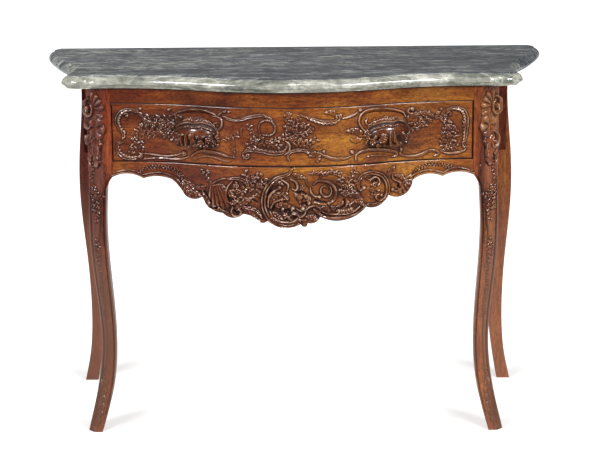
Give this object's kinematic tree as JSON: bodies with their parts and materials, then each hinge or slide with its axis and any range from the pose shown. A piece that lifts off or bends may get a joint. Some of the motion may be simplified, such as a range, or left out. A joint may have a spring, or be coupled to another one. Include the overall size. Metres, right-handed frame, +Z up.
{
  "type": "pier table",
  "caption": "Serpentine console table with a moulded marble slab, a carved walnut frame on cabriole legs and a sliding frieze drawer.",
  "frame": {"origin": "on the floor, under the middle of the table's bounding box", "axes": "+X along the table to its right as seen from the front, +Y to the wall behind, +Z up; the drawer opens along -Y"},
  "size_m": [1.2318, 0.525, 0.87],
  "materials": {
    "marble": "polished grey-green veined marble",
    "walnut": "waxed carved walnut, dark in the recesses",
    "oak": "bare planed secondary wood",
    "iron": "dark hand-made iron"
  },
  "bodies": {
    "frame": {"marble_top": "marble", "front_left_leg": "walnut", "front_right_leg": "walnut", "back_left_leg": "walnut", "back_right_leg": "walnut", "front_top_rail": "walnut", "front_apron": "walnut", "left_side_apron": "walnut", "right_side_apron": "walnut", "back_rail": "oak", "left_runner": "oak", "right_runner": "oak", "left_drawer_guide": "oak", "right_drawer_guide": "oak", "left_kicker": "oak", "right_kicker": "oak", "drawer_stops": "oak", "centre_bearer": "oak", "corner_blocks": "oak", "tenon_pegs": "walnut"},
    "drawer": {"drawer_front": "walnut", "drawer_left_side": "oak", "drawer_right_side": "oak", "drawer_back": "oak", "drawer_bottom": "oak", "left_pull": "walnut", "right_pull": "walnut", "pull_screws": "iron", "bottom_nails": "iron"}
  },
  "joints": [
    {"name": "drawer_slide", "type": "slide", "parent": "frame", "child": "drawer", "axis": [0, -1, 0], "range_m": [0, 0.27]}
  ]
}
